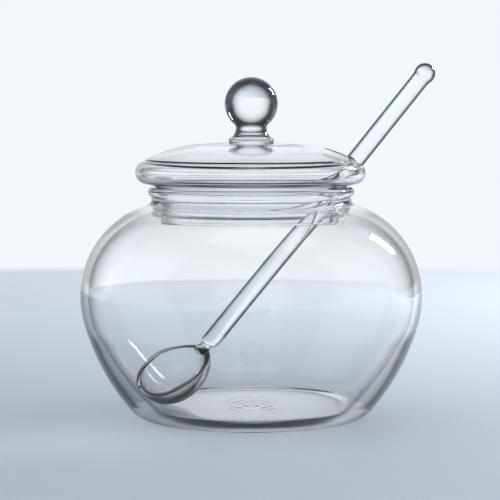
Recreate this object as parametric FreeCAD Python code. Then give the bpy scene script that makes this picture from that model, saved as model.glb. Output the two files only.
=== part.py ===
"""Round glass sugar jar with a domed glass lid, and the glass spoon that stands in it.

The jar and the lid are turned forms: each is one closed outline of tangent arcs, swept round the
Z axis. The spoon's handle leans on the neck and passes out through the notch in the lid.

Units are millimetres. Z is up, and the origin is the middle of the jar's flat base. The notch
and the spoon's handle lie towards +X.
"""
import FreeCAD
import Part
import math
import os

# ---- jar, outside ----------------------------------------------------------------------------
BASE_RADIUS = 33.5          # flat disc that the jar stands on
BASE_GRIND = 0.4            # ground off the bottom, so the flat disc ends in a crisp edge
HEEL_RADIUS = 11.5          # round between the base and the flank
FLANK_RADIUS = 72.0         # long, nearly straight curve above the heel
WIDEST_RADIUS = 55.0
WIDEST_HEIGHT = 40.0
BELLY_LIFT = 5.5            # the belly's curve, carried on down, would stop this far above the base
SHOULDER_RADIUS = 30.5      # curve from the widest ring up to the neck
NECK_RADIUS = 32.1
NECK_FILLET = 2.0
NECK_LENGTH = 0.2           # straight stretch between the two fillets of the neck
RIM_OVERHANG = 1.1          # how far the fire-polished rim stands out past the neck
RIM_FILLET = 1.0

# ---- jar, glass thickness --------------------------------------------------------------------
FLOOR = 2.8
HEEL_WALL = 2.6             # how far the inner heel lies in from the outer one
BELLY_WALL = 2.4
NECK_WALL = 2.0

# ---- lid -------------------------------------------------------------------------------------
LID_WALL = 1.6
SKIRT_CLEARANCE = 1.0       # radial play of the skirt in the neck
SKIRT_LENGTH = 12.4         # below the lid's rolled edge
LID_OVERHANG = 4.1          # how far the lid stands out past the jar's rim
NOSE_RADIUS = 3.7           # round of the rolled edge
SEAT_GAP = 0.2              # between the lid's cove and the jar's rim
LID_RISE = 13.4             # from the underside of the rolled edge to the top of the dome
DOME_SHOULDER_RADIUS = 45.0
CROWN_RADIUS = 220.0

KNOB_RADIUS = 8.55
KNOB_RISE = 12.2            # middle of the ball above the top of the dome
WAIST_RADIUS = 4.95
WAIST_DROP = 7.8            # narrowest place of the knob's stem, below the middle of the ball
FOOT_RADIUS = 7.3
FOOT_EDGE = 0.7             # round of the foot's rim
FOOT_EDGE_RISE = 0.5        # middle of that round above the top of the dome

NOTCH_WIDTH = 15.0
NOTCH_DEPTH = 13.4          # in from the lid's edge
NOTCH_CORNER = 3.0

# ---- spoon -----------------------------------------------------------------------------------
HANDLE_RADIUS = 2.95
HANDLE_LENGTH = 115.0       # from the bowl's edge to the middle of the end ball
HANDLE_LEAN = 51.5          # degrees above the level
END_SWELL = 0.45            # how far the end ball stands out past the handle
END_FILLET = 3.0
COLLAR_NARROWING = 0.85     # the handle is this much thinner in radius where it joins the bowl
COLLAR_LENGTH = 2.6
COLLAR_ROUND = 1.6          # round between the collar and the handle
JOINT_RADIUS = 2.5          # bead of glass that joins the collar to the bowl

BOWL_HALF_LENGTH = 13.4
BOWL_HALF_WIDTH = 10.5
BOWL_DEPTH = 11.2
BOWL_WALL = 1.5
JOINT_INSET = 1.5           # middle of the joining bead, in from the end of the bowl
BOWL_BEND = 26.0            # degrees between the handle and the plane of the bowl's edge
SPOON_ROLL = 36.0           # degrees that the spoon is turned about its handle, towards -Y
SPOON_GAP = 0.3             # between the spoon and the glass that it leans on

FULL_TURN = 360.0
X_AXIS = FreeCAD.Vector(1, 0, 0)
Y_AXIS = FreeCAD.Vector(0, 1, 0)
Z_AXIS = FreeCAD.Vector(0, 0, 1)
ORIGIN = FreeCAD.Vector(0, 0, 0)


# ---- outlines: points are (radius, height) pairs in the half plane of the turned forms ----------
def bearing(centre, point):
    """Direction from centre to point, in degrees from the outward radial line."""
    return math.degrees(math.atan2(point[1] - centre[1], point[0] - centre[0]))


def on_circle(centre, radius, degrees):
    angle = math.radians(degrees)
    return (centre[0] + radius * math.cos(angle), centre[1] + radius * math.sin(angle))


def circles_meet(centre_a, radius_a, centre_b, radius_b, nearer_axis):
    """Where two circles cross: the crossing nearer the axis, or the one further from it."""
    gap = math.dist(centre_a, centre_b)
    along = (radius_a ** 2 - radius_b ** 2 + gap ** 2) / (2 * gap)
    across = math.sqrt(radius_a ** 2 - along ** 2)
    unit = ((centre_b[0] - centre_a[0]) / gap, (centre_b[1] - centre_a[1]) / gap)
    foot = (centre_a[0] + along * unit[0], centre_a[1] + along * unit[1])
    crossings = [
        (foot[0] + side * across * unit[1], foot[1] - side * across * unit[0])
        for side in (1, -1)
    ]
    return min(crossings) if nearer_axis else max(crossings)


def to_3d(point):
    return FreeCAD.Vector(point[0], 0, point[1])


def arc(centre, radius, start, end):
    """Arc edge from one bearing to another, in degrees."""
    middle = on_circle(centre, radius, (start + end) / 2)
    ends = on_circle(centre, radius, start), on_circle(centre, radius, end)
    return Part.Arc(to_3d(ends[0]), to_3d(middle), to_3d(ends[1])).toShape()


def turned(edges):
    """Solid made by sweeping an outline round the Z axis. Straight lines close its gaps."""
    closed = []
    for edge, following in zip(edges, edges[1:] + edges[:1]):
        closed.append(edge)
        end, start = edge.Vertexes[-1].Point, following.Vertexes[0].Point
        if end.distanceToPoint(start) > 1e-6:
            closed.append(Part.makeLine(end, start))
    face = Part.Face(Part.Wire(closed))
    return face.revolve(ORIGIN, Z_AXIS, FULL_TURN)


def line(start, end):
    return Part.makeLine(to_3d(start), to_3d(end))


# ---- jar -------------------------------------------------------------------------------------
def wall_circles(inset, heel_centre):
    """Circles of one side of the jar's wall, which lies inset in from the outside at the belly.

    Each is (centre, radius). The flank's circle is tangent to the belly's and to the heel's.
    """
    belly = ((WIDEST_RADIUS - BELLY_RADIUS, WIDEST_HEIGHT), BELLY_RADIUS - inset)
    shoulder = ((WIDEST_RADIUS - SHOULDER_RADIUS, WIDEST_HEIGHT), SHOULDER_RADIUS - inset)
    flank_centre = circles_meet(
        belly[0], FLANK_RADIUS - belly[1], heel_centre, FLANK_RADIUS - HEEL_RADIUS, True
    )
    return {
        "heel": (heel_centre, HEEL_RADIUS),
        "flank": (flank_centre, FLANK_RADIUS),
        "belly": belly,
        "shoulder": shoulder,
    }


def neck_centre(shoulder, neck_radius, fillet):
    """Middle of the fillet that turns the shoulder up into the neck."""
    centre, radius = shoulder
    reach = radius + fillet
    across = neck_radius + fillet - centre[0]
    return (neck_radius + fillet, centre[1] + math.sqrt(reach ** 2 - across ** 2))


BELLY_RADIUS = WIDEST_HEIGHT - BELLY_LIFT
HEEL_HEIGHT = HEEL_RADIUS - BASE_GRIND
HEEL_CENTRE = (BASE_RADIUS - math.sqrt(HEEL_RADIUS ** 2 - HEEL_HEIGHT ** 2), HEEL_HEIGHT)
OUTSIDE = wall_circles(0.0, HEEL_CENTRE)
INSIDE = wall_circles(BELLY_WALL, (HEEL_CENTRE[0] - HEEL_WALL, HEEL_RADIUS + FLOOR))
OUTER_NECK = neck_centre(OUTSIDE["shoulder"], NECK_RADIUS, NECK_FILLET)
INNER_FILLET = NECK_FILLET + NECK_WALL
MOUTH_RADIUS = NECK_RADIUS - NECK_WALL
INNER_NECK = neck_centre(INSIDE["shoulder"], MOUTH_RADIUS, INNER_FILLET)
BASE_EDGE = (BASE_RADIUS, 0.0)
FLOOR_EDGE = (INSIDE["heel"][0][0], FLOOR)

RIM_RADIUS = (NECK_WALL + RIM_OVERHANG) / 2
RIM_ARC_REACH = NECK_RADIUS + RIM_FILLET - MOUTH_RADIUS - RIM_RADIUS
RIM_ARC_RISE = math.sqrt((RIM_RADIUS + RIM_FILLET) ** 2 - RIM_ARC_REACH ** 2)
RIM_CENTRE = (MOUTH_RADIUS + RIM_RADIUS, OUTER_NECK[1] + NECK_LENGTH + RIM_ARC_RISE)


def lower_wall(circles, bottom):
    """Arcs of one side of the wall, from its bottom to the widest ring: centre, radius, start, end."""
    heel, flank, belly = circles["heel"], circles["flank"], circles["belly"]
    heel_start = bearing(heel[0], bottom)
    heel_end = bearing(flank[0], heel[0])
    belly_start = bearing(flank[0], belly[0])
    return [
        (*heel, heel_start, heel_end),
        (*flank, heel_end, belly_start),
        (*belly, belly_start, 0.0),
    ]


def wall_arcs(circles, bottom, neck, fillet):
    """Edges of one side of the wall, from the end of the flat at bottom up to the neck."""
    shoulder = circles["shoulder"]
    shoulder_end = bearing(shoulder[0], neck)
    return [arc(*part) for part in lower_wall(circles, bottom)] + [
        arc(*shoulder, 0, shoulder_end),
        arc(neck, fillet, shoulder_end + 180, 180),
    ]


def reverse(edges):
    """The same outline walked the other way."""
    flipped = []
    for edge in reversed(edges):
        first, last = edge.FirstParameter, edge.LastParameter
        middle = edge.valueAt((first + last) / 2)
        flipped.append(Part.Arc(edge.valueAt(last), middle, edge.valueAt(first)).toShape())
    return flipped


def make_jar():
    fillet_centre = (NECK_RADIUS + RIM_FILLET, RIM_CENTRE[1] - RIM_ARC_RISE)
    rim_start = bearing(RIM_CENTRE, fillet_centre)
    outer = wall_arcs(OUTSIDE, BASE_EDGE, OUTER_NECK, NECK_FILLET)
    rim = [
        arc(fillet_centre, RIM_FILLET, 180, rim_start + 180),
        arc(RIM_CENTRE, RIM_RADIUS, rim_start, 180),
    ]
    inner = reverse(wall_arcs(INSIDE, FLOOR_EDGE, INNER_NECK, INNER_FILLET))
    axis = line((0, FLOOR), (0, 0))
    return turned([axis] + outer + rim + inner)


# ---- lid -------------------------------------------------------------------------------------
SKIRT_RADIUS = MOUTH_RADIUS - SKIRT_CLEARANCE
LID_RADIUS = MOUTH_RADIUS + 2 * RIM_RADIUS + LID_OVERHANG
COVE_RADIUS = LID_RADIUS - NOSE_RADIUS - SKIRT_RADIUS
# The cove sits over the jar's round rim, a seat gap away from it.
COVE_REACH = COVE_RADIUS - RIM_RADIUS - SEAT_GAP
COVE_ACROSS = SKIRT_RADIUS + COVE_RADIUS - RIM_CENTRE[0]
COVE_CENTRE = (SKIRT_RADIUS + COVE_RADIUS, RIM_CENTRE[1] - math.sqrt(COVE_REACH ** 2 - COVE_ACROSS ** 2))
EDGE_UNDERSIDE = COVE_CENTRE[1] + COVE_RADIUS
NOSE_CENTRE = (LID_RADIUS - NOSE_RADIUS, EDGE_UNDERSIDE + NOSE_RADIUS)
DOME_TOP = EDGE_UNDERSIDE + LID_RISE
CROWN_CENTRE = (0.0, DOME_TOP - CROWN_RADIUS)
DOME_SHOULDER_CENTRE = circles_meet(
    CROWN_CENTRE, CROWN_RADIUS - DOME_SHOULDER_RADIUS,
    NOSE_CENTRE, DOME_SHOULDER_RADIUS - NOSE_RADIUS, True,
)
SKIRT_END = EDGE_UNDERSIDE - SKIRT_LENGTH


def lid_arcs(depth, crown_start):
    """Arcs of the lid's skin, depth below its outer face, from the crown down to the skirt."""
    shoulder_start = bearing(CROWN_CENTRE, DOME_SHOULDER_CENTRE)
    nose_start = bearing(DOME_SHOULDER_CENTRE, NOSE_CENTRE)
    return [
        arc(CROWN_CENTRE, CROWN_RADIUS - depth, crown_start, shoulder_start),
        arc(DOME_SHOULDER_CENTRE, DOME_SHOULDER_RADIUS - depth, shoulder_start, nose_start),
        arc(NOSE_CENTRE, NOSE_RADIUS - depth, nose_start, -90),
        arc(COVE_CENTRE, COVE_RADIUS + depth, 90, 180),
    ]


def knob_arcs():
    """Outline of the knob, from the top of its ball down to its foot, and where the foot ends."""
    ball = (0.0, DOME_TOP + KNOB_RISE)
    waist_height = ball[1] - WAIST_DROP
    foot = (FOOT_RADIUS - FOOT_EDGE, DOME_TOP + FOOT_EDGE_RISE)
    # Radii of the two hollow arcs, one tangent to the ball and one to the foot's round.
    upper = (WAIST_RADIUS ** 2 + WAIST_DROP ** 2 - KNOB_RADIUS ** 2) / (2 * (KNOB_RADIUS - WAIST_RADIUS))
    step = foot[0] - WAIST_RADIUS
    drop = waist_height - foot[1]
    lower = (step ** 2 + drop ** 2 - FOOT_EDGE ** 2) / (2 * (FOOT_EDGE + step))
    upper_centre = (WAIST_RADIUS + upper, waist_height)
    lower_centre = (WAIST_RADIUS + lower, waist_height)
    leave_ball = bearing(ball, upper_centre)
    reach_foot = bearing(lower_centre, foot)
    landing = circles_meet(CROWN_CENTRE, CROWN_RADIUS, foot, FOOT_EDGE, False)
    edges = [
        arc(ball, KNOB_RADIUS, 90, leave_ball),
        arc(upper_centre, upper, leave_ball + 180, 180),
        arc(lower_centre, lower, 180, reach_foot + FULL_TURN),
        arc(foot, FOOT_EDGE, reach_foot + 180, bearing(foot, landing)),
    ]
    return edges, landing


def make_notch():
    """Block that cuts the notch: square to the edge, with rounded inner corners."""
    low, high = SKIRT_END - LID_WALL, DOME_TOP + LID_WALL
    start = LID_RADIUS - NOTCH_DEPTH
    length = NOTCH_DEPTH + LID_WALL
    corner = FreeCAD.Vector(start, -NOTCH_WIDTH / 2, low)
    block = Part.makeBox(length, NOTCH_WIDTH, high - low, corner)
    inner = [
        edge for edge in block.Edges
        if all(abs(vertex.X - start) < 1e-6 for vertex in edge.Vertexes)
        and abs(edge.tangentAt(edge.FirstParameter).z) > 0.5
    ]
    return block.makeFillet(NOTCH_CORNER, inner)


def make_lid():
    knob, landing = knob_arcs()
    outer = lid_arcs(0.0, bearing(CROWN_CENTRE, landing))
    inner = reverse(lid_arcs(LID_WALL, 90))
    lip_centre = (SKIRT_RADIUS - LID_WALL / 2, SKIRT_END + LID_WALL / 2)
    lip = [arc(lip_centre, LID_WALL / 2, 0, -180)]
    axis = line((0, DOME_TOP - LID_WALL), (0, DOME_TOP + KNOB_RISE + KNOB_RADIUS))
    return turned([axis] + knob + outer + lip + inner).cut(make_notch())


# ---- spoon: built with its handle along +Z and the joint with the bowl at the origin ------------
END_BALL_RADIUS = HANDLE_RADIUS + END_SWELL
COLLAR_RADIUS = HANDLE_RADIUS - COLLAR_NARROWING


def make_handle():
    start = (0.0, 0.0)
    round_centre = (HANDLE_RADIUS - COLLAR_ROUND, COLLAR_LENGTH + COLLAR_ROUND)
    shelf = (COLLAR_RADIUS, COLLAR_LENGTH + COLLAR_ROUND * (1 - math.sin(math.acos(
        min(1.0, max(0.0, (COLLAR_RADIUS - round_centre[0]) / COLLAR_ROUND))
    ))))
    end_centre = (0.0, HANDLE_LENGTH)
    hollow = (HANDLE_RADIUS + END_FILLET, HANDLE_LENGTH - math.sqrt(
        (END_BALL_RADIUS + END_FILLET) ** 2 - (HANDLE_RADIUS + END_FILLET) ** 2
    ))
    ball_start = bearing(end_centre, hollow)
    return turned([
        line((0.0, HANDLE_LENGTH + END_BALL_RADIUS), start),
        line(start, (COLLAR_RADIUS, 0.0)),
        line((COLLAR_RADIUS, 0.0), shelf),
        arc(round_centre, COLLAR_ROUND, bearing(round_centre, shelf), 0),
        arc(hollow, END_FILLET, 180, ball_start + 180),
        arc(end_centre, END_BALL_RADIUS, ball_start, 90),
    ])


def half_ellipsoid(half_length, half_width, depth):
    """Lower half of an ellipsoid, with its flat top in the XY plane."""
    ball = Part.makeSphere(1.0, ORIGIN, Z_AXIS, -90, 0, FULL_TURN)
    stretch = FreeCAD.Matrix()
    stretch.scale(half_length, half_width, depth)
    return ball.transformGeometry(stretch)


def make_bowl():
    """Bowl with its tip at +X and its opening up; the joint with the handle is at the origin."""
    outer = half_ellipsoid(BOWL_HALF_LENGTH, BOWL_HALF_WIDTH, BOWL_DEPTH)
    hollow = half_ellipsoid(
        BOWL_HALF_LENGTH - BOWL_WALL, BOWL_HALF_WIDTH - BOWL_WALL, BOWL_DEPTH - BOWL_WALL
    )
    bowl = outer.cut(hollow)
    bowl.translate(bowl_middle())
    return bowl


def bowl_middle():
    return FreeCAD.Vector(BOWL_HALF_LENGTH - JOINT_INSET, 0, 0)


def bowl_turn():
    """Turn that hangs the bowl below the handle's foot."""
    return FreeCAD.Rotation(Y_AXIS, 90 - BOWL_BEND)


def spoon_turn():
    """Turn from the upright spoon to the leaning one."""
    lean = FreeCAD.Rotation(Y_AXIS, 90 - HANDLE_LEAN)
    roll = FreeCAD.Rotation(Z_AXIS, 180 + SPOON_ROLL)
    return lean.multiply(roll)


def wall_clearance(point):
    """Distance from a point in the jar to the nearest glass of its floor and wall."""
    place = (math.hypot(point.x, point.y), point.z)
    clearances = [place[1] - FLOOR]
    for centre, radius, start, end in lower_wall(INSIDE, FLOOR_EDGE):
        if start <= bearing(centre, place) <= end:
            clearances.append(radius - math.dist(place, centre))
    return min(clearances)


def bowl_clearance(foot, turn):
    """Least distance from the bowl's outside to the jar, with the handle's foot at foot."""
    rings, spokes = 18, 48
    whole_turn = turn.multiply(bowl_turn())
    least = math.inf
    for ring in range(rings + 1):
        down = math.pi / 2 * ring / rings
        for spoke in range(spokes):
            about = 2 * math.pi * spoke / spokes
            local = bowl_middle() + FreeCAD.Vector(
                BOWL_HALF_LENGTH * math.cos(down) * math.cos(about),
                BOWL_HALF_WIDTH * math.cos(down) * math.sin(about),
                -BOWL_DEPTH * math.sin(down),
            )
            least = min(least, wall_clearance(foot + whole_turn.multVec(local)))
    return least


def spoon_foot(turn):
    """Where the handle's foot comes to rest: the handle on the rim, the bowl on the jar's inside."""
    up = turn.multVec(Z_AXIS)
    away = FreeCAD.Vector(up.z, 0, -up.x)
    reach = RIM_RADIUS + HANDLE_RADIUS + SPOON_GAP
    beside_rim = to_3d(RIM_CENTRE) - away * reach
    high, low = 0.0, RIM_CENTRE[1] / up.z
    for _ in range(40):
        middle = (high + low) / 2
        if bowl_clearance(beside_rim - up * middle, turn) > SPOON_GAP:
            high = middle
        else:
            low = middle
    return beside_rim - up * high


def make_spoon():
    bowl = make_bowl()
    bowl.Placement = FreeCAD.Placement(ORIGIN, bowl_turn()).multiply(bowl.Placement)
    joint = Part.makeSphere(JOINT_RADIUS)
    spoon = make_handle().fuse([joint, bowl]).removeSplitter()
    turn = spoon_turn()
    spoon.Placement = FreeCAD.Placement(spoon_foot(turn), turn)
    return spoon


def main():
    os.makedirs("parts", exist_ok=True)
    nodes = {"jar": make_jar(), "lid": make_lid(), "spoon": make_spoon()}
    for name, shape in nodes.items():
        solid = shape.Solids[0]
        box = solid.BoundBox
        print(
            f"{name}: solids {len(shape.Solids)}, valid {solid.isValid()}, volume {solid.Volume:.0f} mm3,",
            f"x {box.XMin:.1f}..{box.XMax:.1f}, y {box.YMin:.1f}..{box.YMax:.1f},",
            f"z {box.ZMin:.1f}..{box.ZMax:.1f}",
        )
        solid.exportStep(f"parts/{name}.step")


main()
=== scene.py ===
# %% [markdown]
# # A glass sugar jar, its domed lid and its glass spoon
# The measured model comes first. It fixes where every piece lies, so nothing below has to be
# fitted by eye. All lengths in this file are metres, and MM turns millimetres into metres.

# %% Load the measured model
import math

import bmesh
import bpy
import numpy as np
from mathutils import Matrix, Vector


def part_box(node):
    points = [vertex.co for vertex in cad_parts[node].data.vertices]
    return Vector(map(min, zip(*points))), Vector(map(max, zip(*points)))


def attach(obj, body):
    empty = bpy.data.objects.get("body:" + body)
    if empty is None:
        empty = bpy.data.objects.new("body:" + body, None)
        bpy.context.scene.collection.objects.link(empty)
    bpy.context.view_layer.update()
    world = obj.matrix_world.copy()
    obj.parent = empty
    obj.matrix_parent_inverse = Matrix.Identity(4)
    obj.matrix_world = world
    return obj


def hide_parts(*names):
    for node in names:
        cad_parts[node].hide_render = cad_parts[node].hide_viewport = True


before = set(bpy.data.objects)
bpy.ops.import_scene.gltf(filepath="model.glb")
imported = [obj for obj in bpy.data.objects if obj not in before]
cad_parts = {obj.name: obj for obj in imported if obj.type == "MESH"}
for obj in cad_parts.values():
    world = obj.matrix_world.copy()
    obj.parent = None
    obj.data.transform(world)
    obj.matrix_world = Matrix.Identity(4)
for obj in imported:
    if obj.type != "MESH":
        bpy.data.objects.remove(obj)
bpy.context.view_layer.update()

MM = 0.001

# %% [markdown]
# ## Where we look from
# A long lens far away keeps the jar's sides nearly parallel, as in a product shot. The camera
# stands at the height of the lid's knob and looks slightly down, so that the mouth, the lid's
# edge and the base all show as narrow ellipses. The distance is from the jar's own axis.

# %% Camera
CAMERA_PLACE = (-0.4 * MM, -800 * MM, 111 * MM)
CAMERA_DIP = math.radians(4.04)
CAMERA_LENS = 179.4

scene = bpy.context.scene
camera_data = bpy.data.cameras.new("camera")
camera_data.lens = CAMERA_LENS
camera = bpy.data.objects.new("camera", camera_data)
camera.location = CAMERA_PLACE
camera.rotation_euler = (math.pi / 2 - CAMERA_DIP, 0, 0)
scene.collection.objects.link(camera)
scene.camera = camera
print("camera", [round(v, 3) for v in camera.location], "lens", camera_data.lens)

# %% [markdown]
# ## Outlines from arcs
# Blown and turned glass has no straight walls: its outline is a chain of arcs that run into
# each other without a corner. Each arc is walked in small even turns, and the points are kept
# as (radius, height) pairs. Where two arcs touch follows from their circles alone, so a size
# can change without any point being typed again.

# %% Helpers for outlines
UP, DOWN, OUT, IN = math.pi / 2, -math.pi / 2, 0.0, math.pi
SAME_POINT = 0.002 * MM


def bearing(centre, point):
    """Angle of the way from centre to point."""
    return math.atan2(point[1] - centre[1], point[0] - centre[0])


def on_circle(centre, radius, angle):
    """Point on a circle at an angle from its centre."""
    return (centre[0] + radius * math.cos(angle), centre[1] + radius * math.sin(angle))


def arc(centre, radius, start, end, step=0.7 * MM, turn=math.radians(7)):
    """Points from one bearing to another, no further apart than step, nor turning more than turn."""
    count = max(2, math.ceil(abs(end - start) * radius / step), math.ceil(abs(end - start) / turn))
    return [on_circle(centre, radius, start + (end - start) * k / count) for k in range(count + 1)]


def run(start, end, step=0.5 * MM):
    """Points along a straight stretch, no further apart than step."""
    count = max(1, math.ceil(math.dist(start, end) / step))
    whole = np.array(end) - np.array(start)
    return [tuple(np.array(start) + whole * k / count) for k in range(count + 1)]


def circles_meet(centre_a, radius_a, centre_b, radius_b, nearer_axis):
    """Where two circles cross: the crossing nearer the axis, or the one further from it."""
    gap = math.dist(centre_a, centre_b)
    along = (radius_a ** 2 - radius_b ** 2 + gap ** 2) / (2 * gap)
    across = math.sqrt(radius_a ** 2 - along ** 2)
    unit = ((centre_b[0] - centre_a[0]) / gap, (centre_b[1] - centre_a[1]) / gap)
    foot = (centre_a[0] + along * unit[0], centre_a[1] + along * unit[1])
    crossings = [
        (foot[0] + side * across * unit[1], foot[1] - side * across * unit[0]) for side in (1, -1)
    ]
    return min(crossings) if nearer_axis else max(crossings)


def joined(*stretches):
    """One outline from several, without the points that they share."""
    points = []
    for stretch in stretches:
        for point in stretch:
            if not points or math.dist(points[-1], point) > SAME_POINT:
                points.append(point)
    return points


quarter = arc((0, 0), 10 * MM, OUT, UP)
print("a quarter turn of 10 mm radius takes", len(quarter), "points")

# %% [markdown]
# ## The jar's outline
# The base is ground flat and ends in a crisp edge. From there the wall runs round the heel, up
# the flank, over the widest ring and the shoulder to the neck, and ends in a thick fire-polished
# rim. Inside it runs back down, a wall's thickness away. The glass is a little thicker at the
# heel, where it gathers while it is blown, and the floor has faint rings that the turning left.

# %% Jar outline
BASE_RADIUS, BASE_GRIND, HEEL_RADIUS, FLANK_RADIUS = 33.5 * MM, 0.4 * MM, 11.5 * MM, 72 * MM
WIDEST_RADIUS, WIDEST_HEIGHT, BELLY_LIFT = 55 * MM, 40 * MM, 5.5 * MM
SHOULDER_RADIUS, NECK_RADIUS, NECK_FILLET, NECK_LENGTH = 30.5 * MM, 32.1 * MM, 2 * MM, 0.2 * MM
RIM_OVERHANG, RIM_FILLET = 1.1 * MM, 1 * MM
FLOOR, HEEL_WALL, BELLY_WALL, NECK_WALL = 2.8 * MM, 2.6 * MM, 2.4 * MM, 2 * MM
BELLY_RADIUS = WIDEST_HEIGHT - BELLY_LIFT
RIPPLE_DEPTH, RIPPLE_SPACING, RIPPLE_REACH = 0.06 * MM, 3.4 * MM, 14 * MM
FINE_STEP, BASE_STEP = 0.2 * MM, 3 * MM


def wall(inset, heel_centre, heel_start, neck_radius, neck_fillet):
    """Points up one side of the wall, from the start of the heel to the foot of the neck."""
    belly = (WIDEST_RADIUS - BELLY_RADIUS, WIDEST_HEIGHT)
    shoulder = (WIDEST_RADIUS - SHOULDER_RADIUS, WIDEST_HEIGHT)
    flank = circles_meet(
        belly, FLANK_RADIUS - BELLY_RADIUS + inset, heel_centre, FLANK_RADIUS - HEEL_RADIUS, True
    )
    reach = SHOULDER_RADIUS - inset + neck_fillet
    neck = (
        neck_radius + neck_fillet,
        WIDEST_HEIGHT + math.sqrt(reach ** 2 - (neck_radius + neck_fillet - shoulder[0]) ** 2),
    )
    turn = bearing(shoulder, neck)
    return joined(
        arc(heel_centre, HEEL_RADIUS, heel_start, bearing(flank, heel_centre)),
        arc(flank, FLANK_RADIUS, bearing(flank, heel_centre), bearing(flank, belly)),
        arc(belly, BELLY_RADIUS - inset, bearing(flank, belly), OUT),
        arc(shoulder, SHOULDER_RADIUS - inset, OUT, turn),
        arc(neck, neck_fillet, turn + math.pi, IN),
    ), neck


def floor_ripple(radius):
    """Height of the floor's rings, which fade away from the middle."""
    fade = max(0.0, 1 - radius / RIPPLE_REACH)
    return RIPPLE_DEPTH * fade * math.cos(2 * math.pi * radius / RIPPLE_SPACING)


heel_height = HEEL_RADIUS - BASE_GRIND
heel = (BASE_RADIUS - math.sqrt(HEEL_RADIUS ** 2 - heel_height ** 2), heel_height)
inner_heel = (heel[0] - HEEL_WALL, HEEL_RADIUS + FLOOR)
outer_wall, outer_neck = wall(0, heel, bearing(heel, (BASE_RADIUS, 0)), NECK_RADIUS, NECK_FILLET)
MOUTH_RADIUS = NECK_RADIUS - NECK_WALL
inner_wall, _ = wall(BELLY_WALL, inner_heel, DOWN, MOUTH_RADIUS, NECK_FILLET + NECK_WALL)
RIM_RADIUS = (NECK_WALL + RIM_OVERHANG) / 2
rim_foot = (NECK_RADIUS + RIM_FILLET, outer_neck[1] + NECK_LENGTH)
rim_rise = math.sqrt((RIM_RADIUS + RIM_FILLET) ** 2 - (rim_foot[0] - MOUTH_RADIUS - RIM_RADIUS) ** 2)
rim_centre = (MOUTH_RADIUS + RIM_RADIUS, rim_foot[1] + rim_rise)
rim_turn = bearing(rim_centre, rim_foot)
jar_floor = [(r, FLOOR + floor_ripple(r)) for r, _ in run((0, 0), (inner_heel[0], 0))]
jar_outline = joined(
    run((0, 0), (BASE_RADIUS, 0), step=BASE_STEP),
    outer_wall,
    arc(rim_foot, RIM_FILLET, IN, rim_turn + math.pi, step=FINE_STEP),
    arc(rim_centre, RIM_RADIUS, rim_turn, IN, step=FINE_STEP),
    inner_wall[::-1],
    jar_floor[::-1],
)
jar_top = rim_centre[1] + RIM_RADIUS
print("jar outline:", len(jar_outline), "points, top at", round(jar_top / MM, 2), "mm")

# %% [markdown]
# ## Wiring nodes
# Shapes and glass are both made by nets of nodes below. An input of a node holds a plain value or
# a link from another node's output, so one helper feeds it with whichever it is given. A node
# then takes one line, and a net reads from its first line to its last, like a recipe.

# %% Helpers for nodes
def add_node(tree, kind, inputs=None, **settings):
    """A new node, with its settings made first and then its inputs fed, by name or by number."""
    node = tree.nodes.new(kind)
    for name, value in settings.items():
        setattr(node, name, value)
    for key, value in (inputs or {}).items():
        if isinstance(value, bpy.types.NodeSocket):
            tree.links.new(value, node.inputs[key])
        else:
            node.inputs[key].default_value = value
    return node


def math_node(tree, operation, *values):
    """Output of a Math node with these values at its inputs."""
    node = add_node(tree, "ShaderNodeMath", dict(enumerate(values)), operation=operation)
    return node.outputs[0]


def add_sockets(tree, direction, sockets):
    """Named sockets of a node group, from a dictionary of name to kind."""
    for name, kind in sockets.items():
        tree.interface.new_socket(name, in_out=direction, socket_type="NodeSocket" + kind)


# %% [markdown]
# ## A lathe made of nodes
# The jar and the spoon's handle are turned forms: one outline swept round an axis. Blender can do
# that with the Screw modifier or with Spin, but a Geometry Nodes lathe keeps its sizes as named
# inputs. The outline is carried round a small circle, the hub, and pushed in by the hub's radius,
# so that it turns about the axis itself. The outline is drawn upside down, because the sweep
# lays an outline's own up along the circle's down. Merging the points that meet on the axis
# closes the ends.

# %% Lathe node tree
AXIS_MERGE = 0.0005 * MM


def lathe_tree():
    """Sweeps an outline round the Z axis, and closes it where it meets the axis."""
    tree = bpy.data.node_groups.new("glass lathe", "GeometryNodeTree")
    add_sockets(tree, "INPUT", {
        "Outline": "Geometry", "Steps Round": "Int", "Hub Radius": "Float", "Glass": "Material",
    })
    add_sockets(tree, "OUTPUT", {"Turned": "Geometry"})
    given = add_node(tree, "NodeGroupInput").outputs
    outline = add_node(tree, "GeometryNodeMeshToCurve", {"Mesh": given["Outline"]})
    inward = math_node(tree, "MULTIPLY", given["Hub Radius"], -1)
    offset = add_node(tree, "ShaderNodeCombineXYZ", {"X": inward})
    shift = add_node(tree, "GeometryNodeTransform", {
        "Geometry": outline.outputs[0], "Translation": offset.outputs[0],
    })
    circle = add_node(tree, "GeometryNodeCurvePrimitiveCircle", {
        "Resolution": given["Steps Round"], "Radius": given["Hub Radius"],
    })
    hub = add_node(
        tree, "GeometryNodeSetCurveNormal", {"Curve": circle.outputs["Curve"]}, mode="Z_UP"
    )
    sweep = add_node(tree, "GeometryNodeCurveToMesh", {
        "Curve": hub.outputs["Curve"], "Profile Curve": shift.outputs[0],
    })
    closed = add_node(tree, "GeometryNodeMergeByDistance", {
        "Geometry": sweep.outputs[0], "Distance": AXIS_MERGE,
    })
    smooth = add_node(tree, "GeometryNodeSetShadeSmooth", {"Geometry": closed.outputs[0]})
    real = add_node(tree, "GeometryNodeRealizeInstances", {"Geometry": smooth.outputs[0]})
    glass = add_node(tree, "GeometryNodeSetMaterial", {
        "Geometry": real.outputs[0], "Material": given["Glass"],
    })
    add_node(tree, "NodeGroupOutput", {"Turned": glass.outputs[0]})
    return tree


LATHE = lathe_tree()
print("lathe tree:", len(LATHE.nodes), "nodes")

# %% Turn an outline
HUB_RADIUS = 20 * MM


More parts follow.
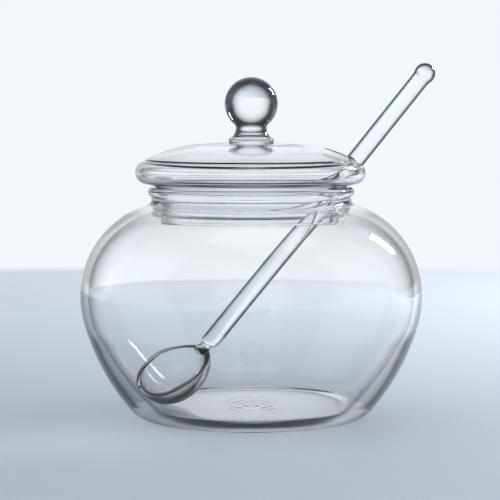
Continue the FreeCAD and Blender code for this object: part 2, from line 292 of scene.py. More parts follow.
def face_outwards(mesh):
    """Turns a closed mesh the right way out, as its signed volume tells, and gives its volume."""
    mesh.calc_loop_triangles()
    points = np.array([v.co for v in mesh.vertices])
    corners = points[np.array([t.vertices for t in mesh.loop_triangles])]
    volume = np.einsum("ij,ij->i", corners[:, 0], np.cross(corners[:, 1], corners[:, 2])).sum() / 6
    if volume < 0:
        mesh.flip_normals()
    return abs(volume)


def turn_on_lathe(name, outline, material, steps):
    """Mesh of an outline swept round the Z axis in a number of steps."""
    sketch = bpy.data.meshes.new(name + "_outline")
    edges = [(k, k + 1) for k in range(len(outline) - 1)]
    sketch.from_pydata([(r, -z, 0) for r, z in outline], edges, [])
    carrier = bpy.data.objects.new(name + "_outline", sketch)
    scene.collection.objects.link(carrier)
    lathe = carrier.modifiers.new("lathe", "NODES")
    lathe.node_group = LATHE
    socket = {item.name: item.identifier for item in LATHE.interface.items_tree}
    lathe[socket["Steps Round"]] = steps
    lathe[socket["Hub Radius"]] = HUB_RADIUS
    lathe[socket["Glass"]] = material
    graph = bpy.context.evaluated_depsgraph_get()
    turned = bpy.data.meshes.new_from_object(carrier.evaluated_get(graph))
    turned.name = name
    carrier.modifiers.remove(lathe)
    bpy.data.objects.remove(carrier)
    bpy.data.meshes.remove(sketch)
    volume = face_outwards(turned)
    print(name, len(turned.polygons), "faces,", round(volume / MM ** 3), "mm3")
    return turned


# %% [markdown]
# ## Clear glass
# Clear glass has no colour of its own: what shows is what lies behind it and what it mirrors. The
# Principled shader does both with Transmission at 1. Where the surface turns away, light comes
# a long way through the glass and out of dark corners of the room, which draws a dark line along
# every edge. That line is also painted shade: Layer Weight measures the turn, and the base colour
# falls off to a dark tone with it. A solid ball or rod bends light much more than a thin sheet
# does, so its painted dark edge is wider and starts sooner: a mask by height tells the solid part
# of a piece from its thin part. Level sheets, such as the jar's floor and the dome, lie almost
# along the view and would go dark all over, so they are kept clear of the painted shade.
#
# Clear glass casts a pale shadow, because it lets light through. So shadow rays meet a Transparent
# shader instead. Hand-worked glass isn't quite even either: a slow, very shallow wave in it bends
# what lies behind. One node group makes that wave for all three pieces.

# %% Wave group
def wave_group():
    """Slow unevenness of hand-worked glass. A Height Scale above 1 packs it closer in height."""
    group = bpy.data.node_groups.new("worked glass wave", "ShaderNodeTree")
    add_sockets(group, "INPUT", {"Scale": "Float", "Height Scale": "Float"})
    add_sockets(group, "OUTPUT", {"Height": "Float"})
    given = add_node(group, "NodeGroupInput").outputs
    place = add_node(group, "ShaderNodeTexCoord")
    size = add_node(group, "ShaderNodeCombineXYZ", {"X": 1, "Y": 1, "Z": given["Height Scale"]})
    scaled = add_node(group, "ShaderNodeVectorMath", {
        0: place.outputs["Object"], 1: size.outputs[0],
    }, operation="MULTIPLY")
    noise = add_node(group, "ShaderNodeTexNoise", {
        "Vector": scaled.outputs[0], "Scale": given["Scale"], "Detail": 1,
    })
    add_node(group, "NodeGroupOutput", {"Height": noise.outputs["Fac"]})
    return group


WAVE = wave_group()
print("wave group:", len(WAVE.nodes), "nodes")

# %% Helpers for shaders
def empty_tree(owner):
    """Node tree of a material or a world, without the nodes that Blender puts in it."""
    owner.use_nodes = True
    owner.node_tree.nodes.clear()
    return owner.node_tree


def ramp(tree, value, low, high, start=0.0, end=1.0, shape="SMOOTHSTEP"):
    """Goes from start to end while value goes from low to high."""
    inputs = {"Value": value, "From Min": low, "From Max": high, "To Min": start, "To Max": end}
    node = add_node(tree, "ShaderNodeMapRange", inputs, interpolation_type=shape)
    return node.outputs["Result"]


def blend(tree, factor, first, second, kind="RGBA"):
    """Blend of two colours, or of two numbers where kind is FLOAT."""
    inputs = {"Factor": factor, "A": first, "B": second}
    return add_node(tree, "ShaderNodeMix", inputs, data_type=kind).outputs["Result"]


def mix_shaders(tree, factor, first, second):
    """The first shader where factor is 0, and the second where it is 1."""
    inputs = {"Fac": factor, 1: first.outputs[0], 2: second.outputs[0]}
    return add_node(tree, "ShaderNodeMixShader", inputs)


# %% Glass materials
GLASS_IOR = 1.47
CLEAR = (1.0, 1.0, 1.0, 1.0)
# colour of the painted edge shade, where the glass turns away from the eye
PAINTED_EDGE_SHADE = (0.004, 0.005, 0.007, 1.0)
SHADOW_TINT = (0.99, 0.992, 0.995, 1.0)
# how level a sheet is where it starts to stay clear of the painted edge shade, and where it is wholly
# clear
LEVEL = (0.86, 0.975)
# height over which the sheet's edge passes into the solid part's edge
SOLID_BLEND = 2 * MM
# scale, height scale and depth of the wave
JAR_WAVE = (30, 1.6, 0.10 * MM)
# how far the surface turns away where its painted edge shade starts, and where it is full
JAR_EDGE = (0.58, 0.88)


def waved_normal(tree, scale, height_scale, depth):
    """Normal of a surface with the slow wave in it."""
    inputs = {"Scale": scale, "Height Scale": height_scale}
    wave = add_node(tree, "ShaderNodeGroup", inputs, node_tree=WAVE)
    bump = add_node(tree, "ShaderNodeBump", {
        "Strength": 1.0, "Distance": depth, "Height": wave.outputs["Height"],
    })
    return bump.outputs["Normal"]


def painted_edge_shade(tree, thin_edge, solid_edge, solid_from, level_clear):
    """Painted edge shade: 0 facing the eye, up to 1 where the glass turns away, less on level sheets.
    """
    place = add_node(tree, "ShaderNodeTexCoord")
    facing = add_node(tree, "ShaderNodeSeparateXYZ", {0: place.outputs["Normal"]})
    upright = math_node(tree, "ABSOLUTE", facing.outputs["Z"])
    kept = ramp(tree, upright, *LEVEL, start=1.0, end=1.0 - level_clear)
    edge = thin_edge
    if solid_edge:
        height = add_node(tree, "ShaderNodeSeparateXYZ", {0: place.outputs["Object"]})
        solid_to = solid_from + SOLID_BLEND
        solid = ramp(tree, height.outputs["Z"], solid_from, solid_to, shape="LINEAR")
        kept = math_node(tree, "MAXIMUM", kept, solid)
        edge = [
            blend(tree, solid, thin, thick, "FLOAT") for thin, thick in zip(thin_edge, solid_edge)
        ]
    turning = add_node(tree, "ShaderNodeLayerWeight", {"Blend": 0.5})
    return math_node(tree, "MULTIPLY", ramp(tree, turning.outputs["Facing"], *edge), kept)


def clear_glass(name, wave, thin_edge, solid_edge=None, solid_from=0, level_clear=1.0):
    """Clear glass with painted edge shade: its base colour darkens where the surface turns away.

    Above the height solid_from the piece is solid, not a sheet. level_clear says how far level
    sheets are kept clear, from 0 to 1.
    """
    material = bpy.data.materials.new(name)
    tree = empty_tree(material)
    # painted edge shade: the base colour darkens where the surface turns away
    painted_shade = painted_edge_shade(tree, thin_edge, solid_edge, solid_from, level_clear)
    glass = add_node(tree, "ShaderNodeBsdfPrincipled", {
        "Base Color": blend(tree, painted_shade, CLEAR, PAINTED_EDGE_SHADE), "Normal": waved_normal(tree, *wave),
        "Roughness": 0.0, "IOR": GLASS_IOR, "Transmission Weight": 1.0,
    })
    rays = add_node(tree, "ShaderNodeLightPath")
    see_through = add_node(tree, "ShaderNodeBsdfTransparent", {"Color": SHADOW_TINT})
    shade = mix_shaders(tree, rays.outputs["Is Shadow Ray"], glass, see_through)
    add_node(tree, "ShaderNodeOutputMaterial", {"Surface": shade.outputs[0]})
    print(name, len(tree.nodes), "nodes")
    return material


JAR_GLASS = clear_glass("blown jar glass", JAR_WAVE, JAR_EDGE)

# %% [markdown]
# ## The jar
# The lathe turns the outline into one closed skin, outside and inside in one, so that light bends
# at both faces of the wall as it does in the real jar.

# %% Jar
JAR_STEPS = 240


def finish_piece(name, mesh, node):
    """Puts a finished mesh in the scene, in place of the measured node."""
    piece = bpy.data.objects.new(name, mesh)
    scene.collection.objects.link(piece)
    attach(piece, "root")
    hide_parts(node)
    print(name, "takes the place of the measured", node)


jar_mesh = turn_on_lathe("blown_jar", jar_outline, JAR_GLASS, JAR_STEPS)
finish_piece("blown_jar", jar_mesh, "jar")

# %% [markdown]
# ## A bent sheet of glass
# The lid and the spoon's bowl are thin sheets of one even thickness, and every free edge is melted
# round. So both are made from the surface in the middle of the glass: rows of points with the
# direction straight out of the sheet at each one. Half the thickness either way gives the two
# faces, and a half-round lip closes the edge. The sheet may have a slot that opens at one end: each
# row then starts at the slot's edge, at its own angle, and stops at the other edge.

# %% Sheet helpers
LIP_STEPS = 8
SLOT_REACH = math.radians(70)


def row_angles(opening, steps):
    """Angles along a row that starts and stops at the slot. Only those near it are moved."""
    even = np.linspace(0, 2 * math.pi, steps + 1)
    squeezed = opening + even * (1 - opening / SLOT_REACH)
    angles = np.where(even < SLOT_REACH, squeezed, even)
    return np.where(even > 2 * math.pi - SLOT_REACH, 2 * math.pi - squeezed[::-1], angles)


def grid_faces(first, rows, columns):
    """Quads between rows of points, numbered from first."""
    corners = [first + i * columns + j for i in range(rows - 1) for j in range(columns - 1)]
    return [(k, k + 1, k + columns + 1, k + columns) for k in corners]


def edge_directions(path, outward):
    """Directions that point off the sheet, square to its closed edge."""
    along = np.roll(path, -1, axis=0) - np.roll(path, 1, axis=0)
    along /= np.linalg.norm(along, axis=1, keepdims=True)
    across = np.cross(along, outward)
    return across / np.linalg.norm(across, axis=1, keepdims=True)


def round_lip(path, outward, half, outer_ids, inner_ids, first):
    """Half-round strip along a closed edge of the sheet: its new points, and its faces."""
    off_sheet = edge_directions(path, outward)
    turns = np.linspace(math.pi / 2, -math.pi / 2, LIP_STEPS + 1)[1:-1]
    points = [path + half * (math.cos(t) * off_sheet + math.sin(t) * outward) for t in turns]
    count = len(path)
    between = [first + k * count + np.arange(count) for k in range(len(turns))]
    strips = [outer_ids, *between, inner_ids]
    faces = [
        (int(a[k]), int(a[(k + 1) % count]), int(b[(k + 1) % count]), int(b[k]))
        for a, b in zip(strips, strips[1:]) for k in range(count)
    ]
    return np.concatenate(points), faces


# %% Close a sheet
WELD, SLIVER = 0.0004 * MM, 0.0001 * MM


def solid_mesh(name, points, faces, material):
    """Closed smooth mesh from points and faces. Points that lie on each other become one."""
    rough = bpy.data.meshes.new(name)
    rough.from_pydata([tuple(p) for p in points], [], faces)
    shape = bmesh.new()
    shape.from_mesh(rough)
    bmesh.ops.remove_doubles(shape, verts=shape.verts, dist=WELD)
    bmesh.ops.dissolve_degenerate(shape, edges=shape.edges, dist=SLIVER)
    bmesh.ops.recalc_face_normals(shape, faces=shape.faces)
    open_edges = sum(1 for edge in shape.edges if len(edge.link_faces) != 2)
    shape.to_mesh(rough)
    shape.free()
    rough.shade_smooth()
    rough.materials.append(material)
    volume = round(face_outwards(rough) / MM ** 3)
    print(name, len(rough.polygons), "faces,", volume, "mm3,", open_edges, "open edges")
    return rough


# %% [markdown]
# ## The lid
# The lid is one sheet of glass: a low dome, a rolled edge that overhangs the jar's rim, a hollow
# cove that sits over that rim, and a skirt that drops into the neck. The notch for the spoon
# is cut in from the edge, its inner corners rounded, and all its edges are melted round. The ball
# knob is solid, and its foot flares out onto the dome. Every outline is a chain of arcs again, and
# the cove's circle lies round the rim's circle with a small gap, so the lid always seats.

# %% Lid sizes
LID_WALL, SKIRT_CLEARANCE, SKIRT_LENGTH = 1.6 * MM, 1 * MM, 12.4 * MM
LID_OVERHANG, NOSE_RADIUS, SEAT_GAP, LID_RISE = 4.1 * MM, 3.7 * MM, 0.2 * MM, 13.4 * MM
DOME_SHOULDER_RADIUS, CROWN_RADIUS = 45 * MM, 220 * MM
NOTCH_WIDTH, NOTCH_DEPTH, NOTCH_CORNER, SKIRT_CORNER = 15 * MM, 13.4 * MM, 3 * MM, 2 * MM

half_wall = LID_WALL / 2
skirt_radius = MOUTH_RADIUS - SKIRT_CLEARANCE
lid_radius = MOUTH_RADIUS + 2 * RIM_RADIUS + LID_OVERHANG
cove_radius = lid_radius - NOSE_RADIUS - skirt_radius
cove_reach = cove_radius - RIM_RADIUS - SEAT_GAP
cove_across = skirt_radius + cove_radius - rim_centre[0]
cove = (skirt_radius + cove_radius, rim_centre[1] - math.sqrt(cove_reach ** 2 - cove_across ** 2))
edge_underside = cove[1] + cove_radius
nose = (lid_radius - NOSE_RADIUS, edge_underside + NOSE_RADIUS)
dome_top = edge_underside + LID_RISE
crown = (0.0, dome_top - CROWN_RADIUS)
dome_shoulder = circles_meet(
    crown, CROWN_RADIUS - DOME_SHOULDER_RADIUS, nose, DOME_SHOULDER_RADIUS - NOSE_RADIUS, True
)
skirt_end = edge_underside - SKIRT_LENGTH
shoulder_turn = bearing(crown, dome_shoulder)
nose_turn = bearing(dome_shoulder, nose)
print("dome top", round(dome_top / MM, 2), "skirt end", round(skirt_end / MM, 2), "mm")

# %% Lid glass
LID_WAVE = (45, 1.0, 0.06 * MM)
LID_EDGE, KNOB_EDGE = (0.45, 0.92), (0.04, 0.34)
KNOB_GLASS_RISE = 1 * MM

knob_glass_from = dome_top + KNOB_GLASS_RISE
LID_GLASS = clear_glass("pressed lid glass", LID_WAVE, LID_EDGE, KNOB_EDGE, knob_glass_from)

# %% [markdown]
# A row of the lid's sheet is a ring of points. It holds five numbers: the ring's radius and
# height, which way is straight out of the sheet (outwards, then upwards), and the angle from the
# notch's middle to its edge. The first rows are whole rings that cross the dome as far as the
# notch. The rest have the notch in them.

# %% The middle of the lid's glass
def dome_row(radius):
    """Place and outward direction of the sheet's middle on the dome, at a distance from the axis."""
    for centre, reach, last in (
        (crown, CROWN_RADIUS - half_wall, shoulder_turn),
        (dome_shoulder, DOME_SHOULDER_RADIUS - half_wall, nose_turn),
        (nose, NOSE_RADIUS - half_wall, OUT),
    ):
        turn = math.acos(min(1.0, (radius - centre[0]) / reach))
        if turn >= last:
            break
    return (radius, centre[1] + reach * math.sin(turn), math.cos(turn), math.sin(turn))


def arc_rows(centre, reach, start, end, side, turn):
    """The first four numbers of rows along an arc.

    Side is 1 where out of the sheet is away from the arc's centre, and -1 where it is towards it.
    """
    count = math.ceil(abs(end - start) / turn)
    rows = []
    for k in range(count + 1):
        angle = start + (end - start) * k / count
        point = on_circle(centre, reach, angle)
        rows.append((*point, side * math.cos(angle), side * math.sin(angle)))
    return rows


def notch_opening(radius, flare=0.0):
    """Angle from the notch's middle to its edge, on the circle of a given radius."""
    return math.asin(min(1.0, (NOTCH_WIDTH / 2 + half_wall + flare) / radius))


print("the notch is", round(2 * math.degrees(notch_opening(lid_radius)), 1), "degrees wide")

# %% Rows across the dome
DOME_STEP, NOTCH_STEP, NOTCH_CORNER_STEP, NOSE_MARGIN = 0.6 * MM, 0.5 * MM, 0.4 * MM, 1 * MM

notch_start = lid_radius - NOTCH_DEPTH - half_wall
notch_half = NOTCH_WIDTH / 2 + half_wall
corner = NOTCH_CORNER + half_wall
corner_centre = (notch_start + corner, notch_half - corner)
notch_edge = joined(
    run((notch_start, 0), (notch_start, notch_half - corner), NOTCH_STEP),
    arc(corner_centre, corner, math.pi, UP, NOTCH_CORNER_STEP),
    run((notch_start + corner, notch_half), (nose[0] - NOSE_MARGIN, notch_half), NOTCH_STEP),
)
whole_rows = [(*dome_row(r), 0.0) for r, _ in run((0, 0), (notch_start, 0), DOME_STEP)]
slot_rows = [(*dome_row(math.hypot(x, y)), math.atan2(y, x)) for x, y in notch_edge]
print("dome rows:", len(whole_rows), "whole,", len(slot_rows), "at the notch")

# %% Rows down the edge, the cove and the skirt
NOSE_TURN, COVE_TURN = math.radians(6), math.radians(5)
STRAIGHT_ROWS, CORNER_ROWS = 14, 8

nose_reach = NOSE_RADIUS - half_wall
nose_from = math.acos((slot_rows[-1][0] - nose[0]) / nose_reach)
falling = arc_rows(nose, nose_reach, nose_from, DOWN, 1, NOSE_TURN)
falling += arc_rows(cove, cove_radius + half_wall, UP, IN, -1, COVE_TURN)[1:]
skirt_middle = skirt_radius - half_wall
straight = cove[1] - skirt_end - half_wall - SKIRT_CORNER
falling += [
    (skirt_middle, cove[1] - straight * k / STRAIGHT_ROWS, 1.0, 0.0)
    for k in range(1, STRAIGHT_ROWS + 1)
]
slot_rows += [(*row, notch_opening(row[0])) for row in falling[1:]]
for k in range(1, CORNER_ROWS + 1):
    turn = math.pi / 2 * k / CORNER_ROWS
    height = skirt_end + half_wall + SKIRT_CORNER * (1 - math.sin(turn))
    opening = notch_opening(skirt_middle, SKIRT_CORNER * (1 - math.cos(turn)))
    slot_rows.append((skirt_middle, height, 1.0, 0.0, opening))
print("lid rows:", len(whole_rows), "whole,", len(slot_rows), "at the notch")

# %% The knob's outline
KNOB_RADIUS, KNOB_RISE, WAIST_RADIUS, WAIST_DROP = 8.55 * MM, 12.2 * MM, 4.95 * MM, 7.8 * MM
FOOT_RADIUS, FOOT_EDGE, FOOT_EDGE_RISE = 7.3 * MM, 0.7 * MM, 0.5 * MM
KNOB_STEP, KNOB_TURN, FOOT_STEP = 0.3 * MM, math.radians(2), 0.1 * MM

ball = (0.0, dome_top + KNOB_RISE)
waist_height = ball[1] - WAIST_DROP
foot = (FOOT_RADIUS - FOOT_EDGE, dome_top + FOOT_EDGE_RISE)
upper_hollow = (
    (WAIST_RADIUS ** 2 + WAIST_DROP ** 2 - KNOB_RADIUS ** 2) / (2 * (KNOB_RADIUS - WAIST_RADIUS))
)
foot_step, foot_drop = foot[0] - WAIST_RADIUS, waist_height - foot[1]
lower_hollow = (foot_step ** 2 + foot_drop ** 2 - FOOT_EDGE ** 2) / (2 * (FOOT_EDGE + foot_step))
upper_middle = (WAIST_RADIUS + upper_hollow, waist_height)
lower_middle = (WAIST_RADIUS + lower_hollow, waist_height)
landing = circles_meet(crown, CROWN_RADIUS, foot, FOOT_EDGE, False)
leave_ball, reach_foot = bearing(ball, upper_middle), bearing(lower_middle, foot)
knob_outline = joined(
    arc(ball, KNOB_RADIUS, UP, leave_ball, KNOB_STEP, KNOB_TURN),
    arc(upper_middle, upper_hollow, leave_ball + math.pi, IN, FINE_STEP),
    arc(lower_middle, lower_hollow, IN, reach_foot + 2 * math.pi, FINE_STEP),
    arc(foot, FOOT_EDGE, reach_foot + math.pi, bearing(foot, landing), FOOT_STEP),
)
print("knob:", len(knob_outline), "points, lands at", round(landing[0] / MM, 2), "mm")

# %% [markdown]
# Two grids of points make the lid: its outer face, which starts at the top of the knob, and its
# inner face, which starts under the middle of the dome. The lip joins them round the notch
# and the skirt's end, in one closed loop.

# %% Lid
LID_STEPS = 236
LANDING_MARGIN = 0.3 * MM


def ring_points(radius, height, opening=0.0):
    """Ring round the axis, open at the notch where an opening is given."""
    angles = row_angles(opening, LID_STEPS)
    places = (radius * np.cos(angles), radius * np.sin(angles), np.full_like(angles, height))
    return np.stack(places, axis=1)


def lid_face(rows, side):
    """Rings on one face of the sheet: the outer one where side is 1, the inner one where it is -1."""
    return [
        ring_points(r + side * half_wall * out, z + side * half_wall * up, opening)
        for r, z, out, up, opening in rows
    ]


def slot_loop():
    """Row and column of each point on the sheet's free edge: down the notch, round and back up."""
    count = len(slot_rows)
    loop = [(i, 0) for i in range(count)]
    loop += [(count - 1, j) for j in range(1, LID_STEPS)]
    return loop + [(i, LID_STEPS) for i in range(count - 1, 0, -1)]


def make_lid_mesh():
    """Both faces of the sheet, with the knob on the outer one, and the lip between them."""
    dome_rows = [row for row in whole_rows[:-1] if row[0] > landing[0] + LANDING_MARGIN]
    outer = [ring_points(r, z) for r, z in knob_outline] + lid_face(dome_rows, 1)
    inner = lid_face(whole_rows[:-1], -1)
    outer_slot, inner_slot = len(outer), len(inner)
    outer += lid_face(slot_rows, 1)
    inner += lid_face(slot_rows, -1)
    columns = LID_STEPS + 1
    points = np.concatenate(outer + inner)
    inner_first = len(outer) * columns
    faces = grid_faces(0, len(outer), columns) + grid_faces(inner_first, len(inner), columns)
    outer_ids = np.array([(outer_slot + i) * columns + j for i, j in slot_loop()])
    inner_ids = np.array([inner_first + (inner_slot + i) * columns + j for i, j in slot_loop()])
    path = (points[outer_ids] + points[inner_ids]) / 2
    outward = points[outer_ids] - points[inner_ids]
    outward /= np.linalg.norm(outward, axis=1, keepdims=True)
    lip_points, lip_faces = round_lip(path, outward, half_wall, outer_ids, inner_ids, len(points))
    points = np.concatenate([points, lip_points])
    return solid_mesh("notched_lid", points, faces + lip_faces, LID_GLASS)


finish_piece("notched_lid", make_lid_mesh(), "lid")

# %% [markdown]
# ## The spoon
# The spoon is bent and joined from three pieces of glass: a rod with a ball melted on its end, a
# small bead, and a deep oval bowl. The rod goes on the lathe, the bowl is a bent sheet, and a
# Boolean union melts them into one skin. Where the spoon lies comes from the measured model: its
# end ball is the highest and the furthest out, so the ball's middle follows from the box.

# %% Spoon sizes and place
HANDLE_RADIUS, HANDLE_LENGTH, HANDLE_LEAN = 2.95 * MM, 115 * MM, math.radians(51.5)
END_SWELL, END_FILLET = 0.45 * MM, 3 * MM
COLLAR_NARROWING, COLLAR_LENGTH, COLLAR_ROUND, JOINT_RADIUS = 0.85 * MM, 2.6 * MM, 1.6 * MM, 2.5 * MM
BOWL_HALF_LENGTH, BOWL_HALF_WIDTH, BOWL_DEPTH, BOWL_WALL = 13.4 * MM, 10.5 * MM, 11.2 * MM, 1.5 * MM
JOINT_INSET, BOWL_BEND, SPOON_ROLL = 1.5 * MM, math.radians(26), math.radians(36)

end_radius = HANDLE_RADIUS + END_SWELL
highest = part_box("spoon")[1]
end_ball = Vector((highest[0] - end_radius, 0, highest[2] - end_radius))
along_handle = Vector((math.cos(HANDLE_LEAN), 0, math.sin(HANDLE_LEAN)))
spoon_foot = end_ball - along_handle * HANDLE_LENGTH
upright_to_lean = Matrix.Rotation(math.pi / 2 - HANDLE_LEAN, 4, "Y")
lean = upright_to_lean @ Matrix.Rotation(math.pi + SPOON_ROLL, 4, "Z")
spoon_place = Matrix.Translation(spoon_foot) @ lean
bowl_place = (
    spoon_place @ Matrix.Rotation(math.pi / 2 - BOWL_BEND, 4, "Y")
    @ Matrix.Translation((BOWL_HALF_LENGTH - JOINT_INSET, 0, 0))
)
print("foot of the handle", [round(v / MM, 2) for v in spoon_foot], "mm")

# %% [markdown]
# The rod is solid and the bowl is a sheet, so the rod's wide band of painted edge shade starts a
# little above the foot. The spoon has no wide level sheet, so none of it has to be kept clear of that
# shade.

# %% Spoon glass
ROD_WAVE = (60, 0.6, 0.05 * MM)
BOWL_EDGE, ROD_EDGE = (0.08, 0.76), (0.08, 0.44)
ROD_GLASS_RISE = 4 * MM

rod_glass_from = spoon_foot.z + ROD_GLASS_RISE
SPOON_GLASS = clear_glass("worked rod glass", ROD_WAVE, BOWL_EDGE, ROD_EDGE, rod_glass_from, 0.0)

# %% Handle outline
ROD_STEP = 1 * MM

collar_radius = HANDLE_RADIUS - COLLAR_NARROWING
round_centre = (HANDLE_RADIUS - COLLAR_ROUND, COLLAR_LENGTH + COLLAR_ROUND)
shelf_turn = -math.acos((collar_radius - round_centre[0]) / COLLAR_ROUND)
end_hollow = (
    HANDLE_RADIUS + END_FILLET,
    HANDLE_LENGTH - math.sqrt((end_radius + END_FILLET) ** 2 - (HANDLE_RADIUS + END_FILLET) ** 2),
)
ball_turn = bearing((0, HANDLE_LENGTH), end_hollow)
handle_outline = joined(
    run((0, 0), (collar_radius, 0)),
    run((collar_radius, 0), on_circle(round_centre, COLLAR_ROUND, shelf_turn)),
    arc(round_centre, COLLAR_ROUND, shelf_turn, OUT, FINE_STEP),
    run((HANDLE_RADIUS, round_centre[1]), (HANDLE_RADIUS, end_hollow[1]), ROD_STEP),
    arc(end_hollow, END_FILLET, IN, ball_turn + math.pi, FINE_STEP),
    arc((0, HANDLE_LENGTH), end_radius, ball_turn, UP, FINE_STEP),
)
bead_outline = arc((0, 0), JOINT_RADIUS, DOWN, UP, FINE_STEP)
print("handle:", len(handle_outline), "points, bead:", len(bead_outline), "points")

# %% Bowl mesh
BOWL_ROWS, BOWL_STEPS = 40, 128


def make_bowl_mesh():
    """Half an ellipsoid as a sheet, from its lowest point up to its melted edge."""
    half = BOWL_WALL / 2
    spans = np.array([BOWL_HALF_LENGTH, BOWL_HALF_WIDTH, BOWL_DEPTH]) - half
    depth = np.linspace(0, math.pi / 2, BOWL_ROWS + 1)
    about = np.linspace(0, 2 * math.pi, BOWL_STEPS + 1)
    rows = np.stack([
        np.sin(depth)[:, None] * np.cos(about), np.sin(depth)[:, None] * np.sin(about),
        -np.cos(depth)[:, None] * np.ones_like(about),
    ], axis=2)
    outward = rows / spans
    outward /= np.linalg.norm(outward, axis=2, keepdims=True)
    middle = rows * spans
    columns = BOWL_STEPS + 1
    points = np.concatenate([(middle + side * half * outward).reshape(-1, 3) for side in (1, -1)])
    inner_first = (BOWL_ROWS + 1) * columns
    faces = grid_faces(0, BOWL_ROWS + 1, columns) + grid_faces(inner_first, BOWL_ROWS + 1, columns)
    edge = BOWL_ROWS * columns + np.arange(BOWL_STEPS)
    lip_points, lip_faces = round_lip(
        middle[-1][:-1], outward[-1][:-1], half, edge, inner_first + edge, len(points)
    )
    points = np.concatenate([points, lip_points])
    points[:, 2] -= half
    return solid_mesh("spoon_bowl", points, faces + lip_faces, SPOON_GLASS)


bowl_mesh = make_bowl_mesh()

# %% Join the spoon
ROD_STEPS = 160


def loose_object(name, mesh, place):
    """Object whose place lies in its mesh."""
    mesh.transform(place)
    thing = bpy.data.objects.new(name, mesh)
    scene.collection.objects.link(thing)
    return thing


def melted_together(name, first, others):
    """One skin from pieces that overlap."""
    for other in others:
        join = first.modifiers.new("join", "BOOLEAN")
        join.operation = "UNION"
        join.solver = "EXACT"
        join.object = other
    graph = bpy.context.evaluated_depsgraph_get()
    mesh = bpy.data.meshes.new_from_object(first.evaluated_get(graph))
    mesh.name = name
    for thing in (first, *others):
        old = thing.data
        bpy.data.objects.remove(thing)
        bpy.data.meshes.remove(old)
    return mesh


handle_mesh = turn_on_lathe("handle", handle_outline, SPOON_GLASS, ROD_STEPS)
handle = loose_object("handle", handle_mesh, spoon_place)
bead_mesh = turn_on_lathe("bead", bead_outline, SPOON_GLASS, ROD_STEPS)
bead = loose_object("bead", bead_mesh, spoon_place)
bowl = loose_object("bowl", bowl_mesh, bowl_place)
spoon_mesh = melted_together("glass_spoon", handle, [bead, bowl])
spoon_mesh.shade_smooth()
spoon_volume = round(face_outwards(spoon_mesh) / MM ** 3)
print("spoon:", len(spoon_mesh.polygons), "faces,", spoon_volume, "mm3")
finish_piece("glass_spoon", spoon_mesh, "spoon")

# %% [markdown]
# ## The table
# Clear glass shows nothing but its surroundings, so they are part of the picture. The table is
# plain and pale. A painted glow in the backdrop's tone, standing in for the table's reflection of
# the backdrop, makes it lighter with distance, and it fades into the backdrop at its far edge.
# Light that a solid ball bends steeply down meets the table close by, where the jar shades it. So
# rays that come through glass and strike the table at a steep slant find it dark.

# %% Table
TABLE_DROP, TABLE_HALF, TABLE_REACH, TABLE_EDGE = 0.1 * MM, 12, 0.57, 0.09
TABLE_COLOR, TABLE_ROUGHNESS = (0.38, 0.43, 0.49, 1.0), 0.6
# painted glow: where it starts, and its share at the far reach, in place of the table's reflection of
# the backdrop
PAINTED_GLOW_START, PAINTED_GLOW_SHARE = 0.06, 0.38
SHADED = (0.035, 0.04, 0.05, 1.0)
BACKDROP = (0.89, 0.93, 0.98, 1.0)
# slants, from 0 straight down to 1 along the table, over which a ray stops or starts to find it dark
STEEP_FADE, STRAIGHT_DOWN_FADE = (0.28, 0.50), (0.02, 0.12)


def steep_through_glass(tree):
    """1 for rays that come through glass at a steep slant, though not straight down."""
    slant = add_node(tree, "ShaderNodeLayerWeight").outputs["Facing"]
    steep = ramp(tree, slant, *STEEP_FADE, start=1.0, end=0.0)
    slanted = math_node(tree, "MULTIPLY", steep, ramp(tree, slant, *STRAIGHT_DOWN_FADE))
    rays = add_node(tree, "ShaderNodeLightPath")
    return math_node(tree, "MULTIPLY", slanted, rays.outputs["Is Transmission Ray"])


def table_material():
    """Pale top that fades into the backdrop, and is dark to rays at a steep slant through glass.

    A painted glow in the backdrop's tone, in place of its reflection, lightens it with distance.
    """
    material = bpy.data.materials.new("pale table")
    tree = empty_tree(material)
    place = add_node(tree, "ShaderNodeTexCoord").outputs["Object"]
    reach = add_node(tree, "ShaderNodeVectorMath", {0: place}, operation="LENGTH").outputs["Value"]
    fade = ramp(tree, reach, TABLE_REACH, TABLE_REACH + TABLE_EDGE)
    # painted glow: backdrop tone mixed in, rising with distance, in place of the table's reflection
    painted_glow = ramp(tree, reach, PAINTED_GLOW_START, TABLE_REACH, end=PAINTED_GLOW_SHARE, shape="LINEAR")
    top = add_node(tree, "ShaderNodeBsdfPrincipled", {
        "Base Color": TABLE_COLOR, "Roughness": TABLE_ROUGHNESS,
    })
    far = add_node(tree, "ShaderNodeEmission", {"Color": BACKDROP})
    pale = mix_shaders(tree, math_node(tree, "MAXIMUM", fade, painted_glow), top, far)
    shaded = add_node(tree, "ShaderNodeBsdfDiffuse", {"Color": SHADED})
    either = mix_shaders(tree, steep_through_glass(tree), pale, shaded)
    add_node(tree, "ShaderNodeOutputMaterial", {"Surface": either.outputs[0]})
    print("table material:", len(tree.nodes), "nodes")
    return material


table_mesh = bpy.data.meshes.new("table")
sides = ((-1, -1), (1, -1), (1, 1), (-1, 1))
corners = [(x * TABLE_HALF, y * TABLE_HALF, -TABLE_DROP) for x, y in sides]
table_mesh.from_pydata(corners, [], [(0, 1, 2, 3)])
table_mesh.materials.append(table_material())
table = bpy.data.objects.new("table", table_mesh)
scene.collection.objects.link(table)

# %% [markdown]
# ## The room
# The room is a pale daylight studio with a wide window in each wall and darker walls between
# them: the windows make the glass bright, and the walls draw its dark edges. The camera sees one
# pale tone all round, and the glass finds the same tone in the window straight behind, so the jar
# stays clear. Mirrored rays find taller windows and paler walls, which keeps the reflections
# soft. All other light from the room is one soft even tone.

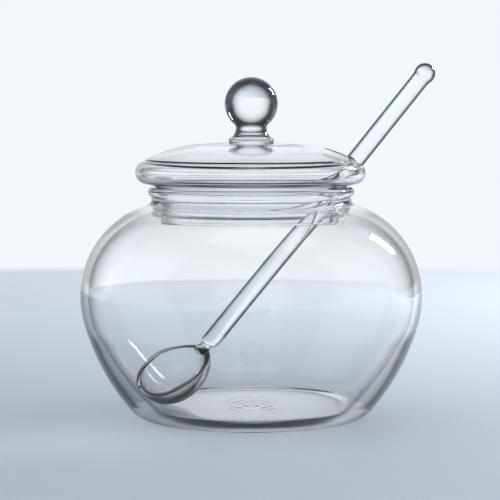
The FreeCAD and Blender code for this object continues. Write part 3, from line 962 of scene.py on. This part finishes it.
# %% Room
ROOM_WALL = (0.035, 0.04, 0.05, 1.0)
MIRRORED_WALL = (0.50, 0.53, 0.57, 1.0)
ROOM_SOFT = (0.40, 0.43, 0.47, 1.0)
WINDOWS, WINDOW_HALF, WINDOW_SOFT = 4, math.radians(27), 0.25
# heights, as the upward part of a ray's direction, over which a window ends at its top
WINDOW_TOP_FADE, MIRRORED_LIFT = (0.33, 0.46), 0.37


def window_light(tree, mirrored):
    """1 where a ray leaves through a window, 0 where it meets the wall."""
    way = add_node(tree, "ShaderNodeTexCoord").outputs["Generated"]
    parts = add_node(tree, "ShaderNodeSeparateXYZ", {0: way}).outputs
    around = math_node(tree, "ARCTAN2", parts["X"], parts["Y"])
    wall_to_wall = math_node(tree, "COSINE", math_node(tree, "MULTIPLY", around, WINDOWS))
    side = math.cos(WINDOWS * WINDOW_HALF)
    beside = ramp(tree, wall_to_wall, side - WINDOW_SOFT, side + WINDOW_SOFT)
    lift = math_node(tree, "MULTIPLY", mirrored, MIRRORED_LIFT)
    height = math_node(tree, "SUBTRACT", parts["Z"], lift)
    below = ramp(tree, height, *WINDOW_TOP_FADE, start=1.0, end=0.0)
    return math_node(tree, "MULTIPLY", beside, below)


def make_room():
    """World whose windows and walls are met by rays that pass through glass or are mirrored."""
    world = bpy.data.worlds.new("studio room")
    tree = empty_tree(world)
    rays = add_node(tree, "ShaderNodeLightPath").outputs
    mirrored = rays["Is Glossy Ray"]
    walls = blend(tree, mirrored, ROOM_WALL, MIRRORED_WALL)
    seen = blend(tree, window_light(tree, mirrored), walls, BACKDROP)
    by_glass = math_node(tree, "MAXIMUM", mirrored, rays["Is Transmission Ray"])
    lit = blend(tree, by_glass, ROOM_SOFT, seen)
    shown = blend(tree, rays["Is Camera Ray"], lit, BACKDROP)
    background = add_node(tree, "ShaderNodeBackground", {"Color": shown})
    add_node(tree, "ShaderNodeOutputWorld", {"Surface": background.outputs[0]})
    print("room:", len(tree.nodes), "nodes")
    return world


scene.world = make_room()
scene.view_settings.view_transform = "Standard"

# %% [markdown]
# ## The lamps
# A narrow lamp behind the jar stands for bright daylight from one side, and puts a crisp light
# on the rim and the shoulder. A wide softbox above fills in the rest.

# %% Lamps
def add_lamp(name, place, aim, size, power):
    """Rectangular lamp at place, turned towards aim."""
    data = bpy.data.lights.new(name, "AREA")
    data.shape = "RECTANGLE"
    data.size, data.size_y = size
    data.energy = power
    thing = bpy.data.objects.new(name, data)
    thing.location = place
    thing.rotation_euler = (Vector(aim) - Vector(place)).to_track_quat("-Z", "Y").to_euler()
    scene.collection.objects.link(thing)
    print(name, power, "W")


add_lamp("back window", place=(0.55, 0.5, 0.42), aim=(0.18, 0.25, 0.0), size=(0.045, 0.22), power=9.0)
add_lamp("top softbox", place=(0.1, -0.1, 1.1), aim=(0, 0, 0.04), size=(0.8, 0.8), power=1.2)

# %% [markdown]
# ## Finish
# Light goes in and out of many faces of clear glass, so it gets enough bounces to come through.
# The shadow rays already bring the lamps' light through the glass, so caustics stay off: they
# would add the same light again, as pools beside the jar.
# The finished pieces have to stay inside the measured model's box.

# %% Finish
GLASS_BOUNCES, MIRROR_BOUNCES = 32, 8

scene.cycles.caustics_reflective = False
scene.cycles.caustics_refractive = False
scene.cycles.max_bounces = GLASS_BOUNCES
scene.cycles.transmission_bounces = GLASS_BOUNCES
scene.cycles.transparent_max_bounces = GLASS_BOUNCES
scene.cycles.glossy_bounces = MIRROR_BOUNCES
